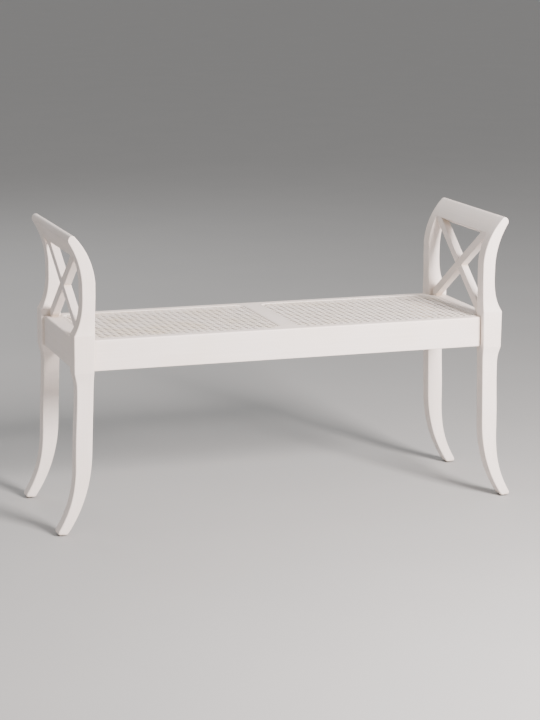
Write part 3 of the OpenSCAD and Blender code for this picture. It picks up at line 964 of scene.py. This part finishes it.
def make_splines(material):
    """The reed that wedges the cane in its groove, crowned on top."""
    bottom, shoulder, brow, crown = REED_LOW.z + 0.5, SEAT_TOP - 0.7, SEAT_TOP - 0.05, SEAT_TOP + 0.2
    section = (
        (0.1, bottom), (0.1, shoulder), (0.7, brow), (2.0, crown),
        (3.3, brow), (3.9, shoulder), (3.9, bottom),
    )
    rings = [panel_outline(inset, level) for inset, level in section]
    for end, side in SIDES.items():
        node = f"spline_{end}"
        mesh = new_mesh(node, *loft(mirrored(rings, side), closed=True))
        mesh.attributes.new("strand_shade", "FLOAT", "POINT")
        place(f"reed_{node}", mesh, material, [node])


# ---- hidden fittings stay as the frame has them ----

def finish_fittings(beech, steel, nylon):
    finishes = {"bare_beech": beech, "zinc_steel": steel, "glide_plastic": nylon}
    for entry in frame["record"]["subparts"]:
        finish = finishes.get(entry["material_slot"])
        if finish:
            node = frame["nodes"][entry["node"]]
            node.data.materials.clear()
            node.data.materials.append(finish)


# ---- studio, in metres, degrees and watts ----

FLOOR_REACH = 60
LIGHTS_AIM = (0, 0, 0.4)
CAMERA_PLACE = (-1.61335, -4.52649, 1.40582)
CAMERA_YAW, CAMERA_PITCH, CAMERA_ROLL = 19.64, 12.48, 0.66
LENS_MM, LENS_SHIFT = 101.586, -0.0007


def make_floor():
    mesh = bpy.data.meshes.new("studio_floor")
    corners = [(x * FLOOR_REACH, y * FLOOR_REACH, 0) for x, y in ((-1, -1), (1, -1), (1, 1), (-1, 1))]
    mesh.from_pydata(corners, [], [(0, 1, 2, 3)])
    mesh.materials.append(pale_floor())
    floor = bpy.data.objects.new("studio_floor", mesh)
    bpy.context.scene.collection.objects.link(floor)


def softbox(name, position, size, power, tint):
    """A square soft light that faces the bench."""
    lamp = bpy.data.lights.new(name, "AREA")
    lamp.shape, lamp.size, lamp.energy, lamp.color = "SQUARE", size, power, tint
    stand = bpy.data.objects.new(name, lamp)
    bpy.context.scene.collection.objects.link(stand)
    stand.location = position
    facing = Vector(LIGHTS_AIM) - Vector(position)
    stand.rotation_euler = facing.to_track_quat("-Z", "Y").to_euler()


def make_light():
    softbox("key_softbox", (1.0, -2.45, 1.7), 0.8, 290, (1.0, 0.925, 0.895))
    softbox("fill_softbox", (-3.4, -2.6, 1.8), 3.0, 24, (1.0, 0.97, 0.955))
    softbox("back_softbox", (-0.6, 3.5, 3.2), 2.5, 60, (1.0, 1.0, 1.0))
    world = bpy.data.worlds.new("studio_walls")
    world.use_nodes = True
    background = world.node_tree.nodes["Background"]
    background.inputs["Color"].default_value = (1.0, 0.985, 0.975, 1)
    background.inputs["Strength"].default_value = 0.5
    bpy.context.scene.world = world


def make_camera():
    """A long lens from the front left, a little above the arms."""
    yaw, pitch, roll = (math.radians(a) for a in (CAMERA_YAW, CAMERA_PITCH, CAMERA_ROLL))
    ahead = Vector((math.sin(yaw) * math.cos(pitch), math.cos(yaw) * math.cos(pitch), -math.sin(pitch)))
    level_right = Vector((math.cos(yaw), -math.sin(yaw), 0))
    level_up = level_right.cross(ahead)
    right = math.cos(roll) * level_right + math.sin(roll) * level_up
    up = -math.sin(roll) * level_right + math.cos(roll) * level_up
    camera = bpy.data.objects.new("camera", bpy.data.cameras.new("camera"))
    bpy.context.scene.collection.objects.link(camera)
    pose = Matrix((right, up, -ahead)).transposed().to_4x4()
    pose.translation = Vector(CAMERA_PLACE)
    camera.matrix_world = pose
    camera.data.sensor_width = 36
    camera.data.lens = LENS_MM
    camera.data.shift_y = LENS_SHIFT
    bpy.context.scene.camera = camera


def make_bench():
    masks = crevice_and_edge_group()
    paint_group = brushed_paint_group(masks)
    quarter = math.pi / 2
    upright = painted_wood("paint_up_the_posts", paint_group, (0, quarter, 0))
    lengthwise = painted_wood("paint_along_the_bench", paint_group, (0, 0, 0))
    crosswise = painted_wood("paint_front_to_back", paint_group, (0, 0, -quarter))
    braces = {
        slope: painted_wood(name, paint_group, (-slope * BRACE_ANGLE, 0, -quarter))
        for name, slope in (("paint_rising_brace", 1), ("paint_falling_brace", -1))
    }
    cane = painted_cane(masks)
    cutters = pocket_cutters()
    make_posts(upright)
    make_long_rails(lengthwise, cutters)
    make_cross_pieces(crosswise, cutters)
    make_crests(crosswise)
    make_braces(braces)
    make_cane(cane)
    make_splines(cane)
    finish_fittings(bare_beech(masks), zinc_steel(), glide_nylon(masks))


make_bench()
make_floor()
make_light()
make_camera()
